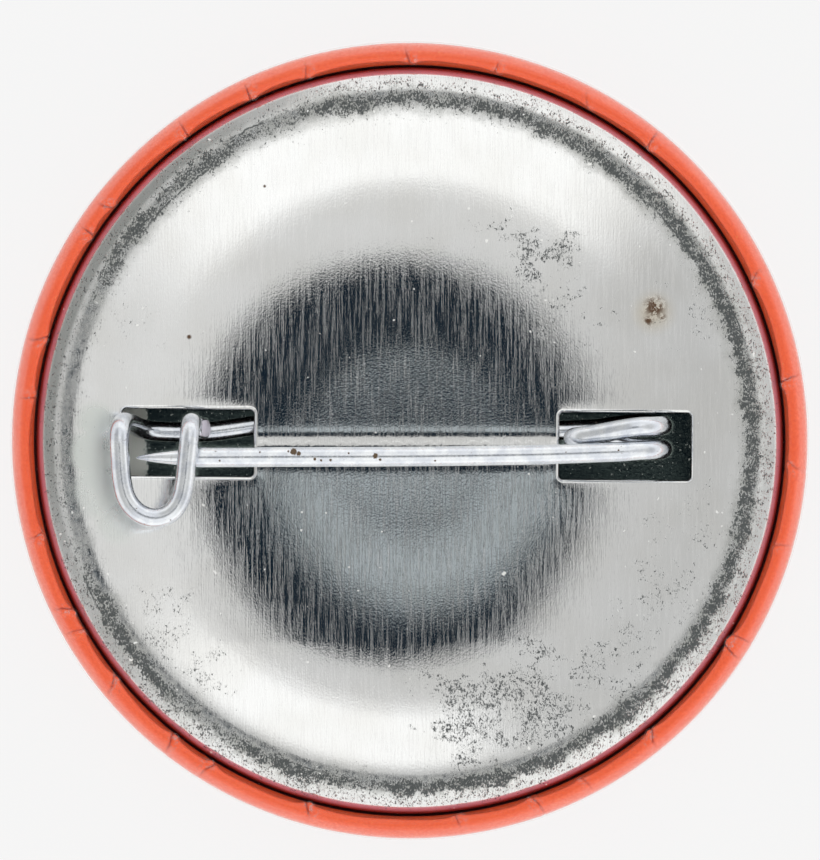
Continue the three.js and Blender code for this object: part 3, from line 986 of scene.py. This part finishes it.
def make_pin():
    """The one wire, in three pieces: its base rides on the badge's body, its arm on the arm's body, and its
    coil, on no body, lies between the two.
    """
    wire = wire_material()
    base_line = base_and_catch_line()
    cut = np.array([0.93, 0.0, 0.37])
    base = tube("wire_base_and_catch", base_line, wire, end_rounds=(0.004, 0.03), last_cut=cut)
    dress(base, "badge", "pin_base_and_catch")
    line = arm_line()
    arm = tube("wire_arm", line, wire, arm_radius(line), end_rounds=(0.004, 0.01))
    dress(arm, "arm", "pin_arm")
    coil = tube("wire_coil", coil_line(), wire)
    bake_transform(coil)
    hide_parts("spring_coil")


# ---- Floor, light and camera -----------------------------------------------------------------


def make_floor():
    """A plain pale floor, which glows a little so that it stays even round the badge."""
    mesh = bpy.data.meshes.new("floor")
    half = 1.5
    corners = [(-half, -half, 0), (half, -half, 0), (half, half, 0), (-half, half, 0)]
    mesh.from_pydata(corners, [], [(0, 1, 2, 3)])
    floor = bpy.data.objects.new("floor", mesh)
    bpy.context.scene.collection.objects.link(floor)
    floor.location.z = -0.02 * MM
    n = Material("floor")
    n.set(
        Base_Color=(0.06, 0.06, 0.06, 1),
        Roughness=0.9,
        Specular_IOR_Level=0.0,
        Emission_Color=(1, 1, 1, 1),
        Emission_Strength=0.866,
    )
    mesh.materials.append(n.material)


def make_light():
    """Soft studio light: a pale tent, brightest along Y, with a dark opening nearly straight above.

    The opening has a paler part, which the plate's dish mirrors below the pin.
    """
    world = bpy.data.worlds.new("studio")
    bpy.context.scene.world = world
    world.use_nodes = True
    n = Nodes(world.node_tree)
    background = next(node for node in n.tree.nodes if node.type == "BACKGROUND")
    direction = n.tree.nodes.new("ShaderNodeTexCoord").outputs["Generated"]
    x, y, _ = n.parts(direction)

    def degrees_from(x_degrees, y_degrees):
        leans = [math.sin(math.radians(degrees)) for degrees in (x_degrees, y_degrees)]
        cosine = n.vector("DOT_PRODUCT", direction, tuple(Vector((*leans, 1)).normalized()))
        return n.math("DEGREES", n.math("ARCCOSINE", n.math("MINIMUM", cosine, 1.0)))

    def light_by_height(stops):
        """Light of these levels at these degrees down from straight above."""
        ramp = n.tree.nodes.new("ShaderNodeValToRGB")
        elements = ramp.color_ramp.elements
        elements[1].position = 1.0
        for i, (degrees, level) in enumerate(stops):
            element = elements[0] if i == 0 else elements.new(degrees / 90)
            element.color = (level, level, level * 0.985, 1)
        elements[-1].color = elements[-2].color
        n.put(ramp.inputs[0], n.math("DIVIDE", from_zenith, 90.0))
        return ramp.outputs[0]

    from_zenith = degrees_from(0, 0)
    to_right = n.ramp(x, -0.25, 0.25)
    level_x, level_y, _ = n.parts(n.vector("NORMALIZE", n.join(x, y)))
    left_side = n.math("MAXIMUM", n.math("MULTIPLY", level_x, -1.0), 0.0)
    dimmer = n.math("MULTIPLY", left_side, n.ramp(level_y, -0.2, 0.2, 0.2, 2.2))
    along_y = n.ramp(n.math("SUBTRACT", n.math("MULTIPLY", level_y, level_y), dimmer), 0.15, 0.6)
    bright_low = [(66, 1.25), (89, 1.25)]
    near_end = light_by_height([(0, 0.76), (13.2, 0.78), (16, 1.22), (30, 1.17), (52, 1.04), *bright_low])
    far_end = light_by_height([(0, 0.66), (13.2, 0.68), (16, 1.2), (30, 1.13), (52, 0.98), *bright_low])
    left = light_by_height([(0, 0.68), (25, 0.60), (33, 0.54), (50, 0.54), (66, 0.95), (89, 1.1)])
    right = light_by_height([(0, 0.84), (25, 0.80), (33, 0.68), (50, 0.64), (66, 1.1), (89, 1.2)])
    ends = n.mix(n.ramp(y, -0.25, 0.25), near_end, far_end)
    tent = n.mix(along_y, n.mix(to_right, left, right), ends)
    opening = n.ramp(degrees_from(1.4, 2.0), 7.55, 8.0, 1.0, 0.0)
    between = n.math("MULTIPLY", n.ramp(y, 0.0125, 0.0165), n.ramp(y, 0.068, 0.076, 1.0, 0.0))
    paler = n.math("MULTIPLY", n.ramp(degrees_from(-0.42, 2.3), 2.7, 3.0, 1.0, 0.0), between)
    inside = n.mix(paler, (0.006, 0.014, 0.024, 1), (0.46, 0.51, 0.53, 1))
    n.put(background.inputs[0], n.mix(opening, tent, inside))


def make_camera():
    """Straight above the badge, framed as the photograph is."""
    distance = 450 * MM
    view_height = 41.02 * MM
    camera = bpy.data.cameras.new("camera")
    camera.sensor_width = 36
    camera.lens = 36 * distance / view_height
    camera.clip_start = 0.01
    camera.clip_end = 10
    holder = bpy.data.objects.new("camera", camera)
    bpy.context.scene.collection.objects.link(holder)
    holder.location = (0.014 * MM, 0.506 * MM, distance + 2.55 * MM)
    bpy.context.scene.camera = holder


make_sheets()
make_pin()
make_floor()
make_light()
make_camera()
bpy.context.scene.view_settings.view_transform = "Standard"
